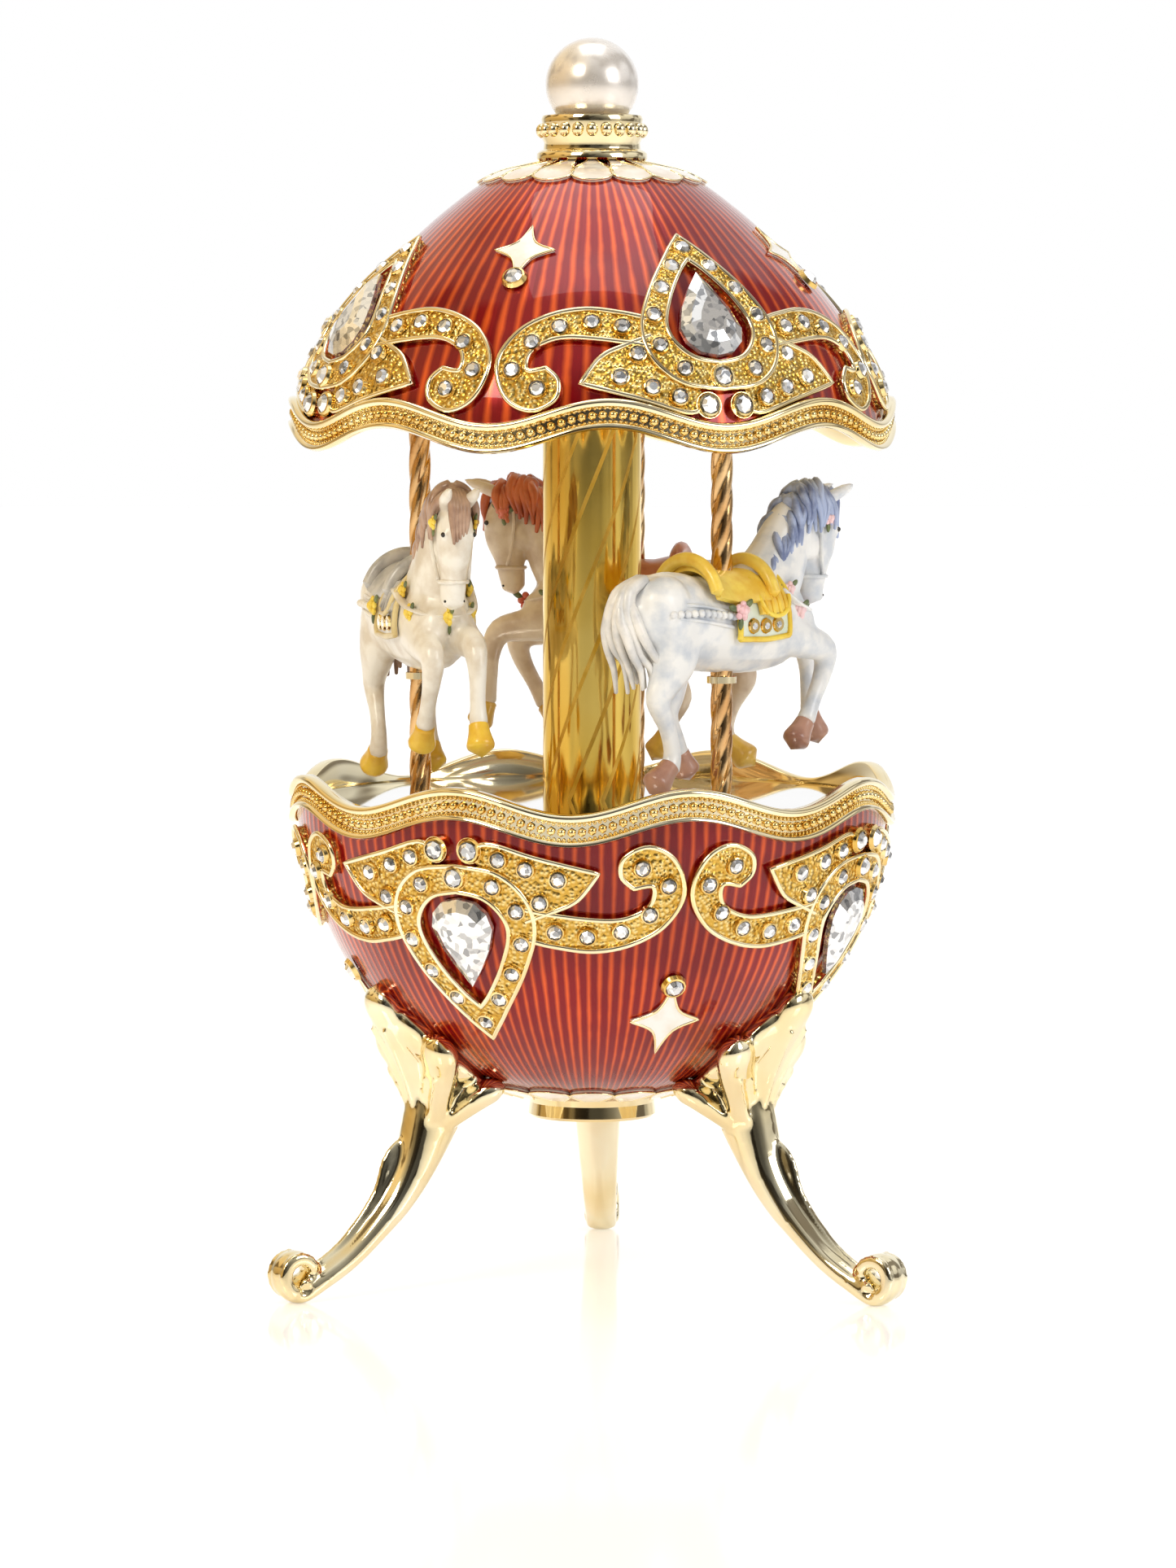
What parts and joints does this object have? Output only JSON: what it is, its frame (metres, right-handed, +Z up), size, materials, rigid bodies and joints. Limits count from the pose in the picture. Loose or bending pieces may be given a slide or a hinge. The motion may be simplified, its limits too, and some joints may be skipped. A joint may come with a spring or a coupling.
{
  "type": "carousel music box",
  "caption": "Egg-shaped enamelled music box: a jewelled bowl on scrolled legs holds a wind-up movement that turns a horse carousel under a domed roof.",
  "frame": {"origin": "on the table, under the axis that the carousel turns about", "axes": "+Z up along the turning axis, -Y towards the viewer of the front, +X to the viewer's right"},
  "size_m": [0.0882, 0.0916, 0.1718],
  "materials": {
    "polished_gold": "polished gold plating with a soft mirror shine",
    "column_gold": "polished gold with engraved matte stripes",
    "copper_gold": "twisted copper-gold wire, satin",
    "red_enamel": "translucent red enamel over fluted metal, high gloss",
    "white_enamel": "pearly white enamel, glossy",
    "crystal": "clear cut stones with a mirrored back",
    "pearl": "satin imitation pearl",
    "deck_silver": "bright mirror plating",
    "steel": "bright hardened steel",
    "movement_brass": "machined brass",
    "knob_resin": "smooth pale resin",
    "horse_cream": "hand painted cream resin, satin",
    "horse_white": "hand painted white resin, satin",
    "horse_tan": "hand painted tan resin, satin"
  },
  "bodies": {
    "stand": {"bottom_collar": "polished_gold", "bowl_petal_ring": "white_enamel", "leg_left": "polished_gold", "leg_right": "polished_gold", "leg_rear": "polished_gold", "leg_screws": "steel", "bowl_shell": "red_enamel", "bowl_rim_band": "polished_gold", "bowl_ornament_frames": "polished_gold", "bowl_stars": "white_enamel", "bowl_bezel_stones": "crystal", "bowl_pear_stones": "crystal", "bedplate": "movement_brass", "arbor_bush": "movement_brass", "mounting_posts": "movement_brass", "bedplate_screws": "steel", "comb": "steel", "comb_base": "movement_brass", "comb_screws": "steel", "inner_bracket": "movement_brass", "outer_bracket": "movement_brass", "governor_frame": "movement_brass"},
    "carousel": {"deck": "deck_silver", "ceiling_plate": "polished_gold", "column": "column_gold", "pole_front": "copper_gold", "pole_right": "copper_gold", "pole_rear": "copper_gold", "pole_nuts": "steel", "pole_collars": "polished_gold", "horse_front": "horse_cream", "horse_right": "horse_white", "horse_rear": "horse_tan", "roof_shell": "red_enamel", "roof_rim_band": "polished_gold", "roof_petal_ring": "white_enamel", "roof_ornament_frames": "polished_gold", "roof_stars": "white_enamel", "roof_bezel_stones": "crystal", "roof_pear_stones": "crystal", "finial_crown": "polished_gold", "pearl": "pearl", "tie_rod": "steel", "output_spindle": "steel", "crown_gear": "movement_brass", "spring_barrel": "movement_brass", "mainspring": "steel"},
    "cylinder": {"cylinder_arbor": "steel", "cylinder_pinion": "movement_brass", "cylinder_wheel": "movement_brass", "music_cylinder": "movement_brass"},
    "idler": {"idler_pinion": "steel", "worm_wheel": "movement_brass"},
    "governor": {"governor_worm": "steel", "governor_fan": "steel"},
    "winding": {"winding_knob": "knob_resin", "winding_arbor": "steel"}
  },
  "joints": [
    {"name": "carousel_spin", "type": "hinge", "parent": "stand", "child": "carousel", "pos_m": [0, 0, 0.06], "axis": [0, 0, 1], "continuous": true},
    {"name": "cylinder_spin", "type": "hinge", "parent": "stand", "child": "cylinder", "pos_m": [0.0195, 0, 0.0561], "axis": [1, 0, 0], "continuous": true},
    {"name": "idler_spin", "type": "hinge", "parent": "stand", "child": "idler", "pos_m": [0.028, 0.008, 0.05354], "axis": [1, 0, 0], "continuous": true},
    {"name": "governor_spin", "type": "hinge", "parent": "stand", "child": "governor", "pos_m": [0.0293, 0.0133, 0.054], "axis": [0, 0, 1], "continuous": true},
    {"name": "winding_turn", "type": "hinge", "parent": "stand", "child": "winding", "pos_m": [0, 0, 0.025], "axis": [0, 0, 1], "continuous": true}
  ],
  "couplings": [
    {"joint": "cylinder_spin", "follows": "carousel_spin", "ratio": 3},
    {"joint": "idler_spin", "follows": "carousel_spin", "ratio": -9.6},
    {"joint": "governor_spin", "follows": "carousel_spin", "ratio": 192}
  ]
}
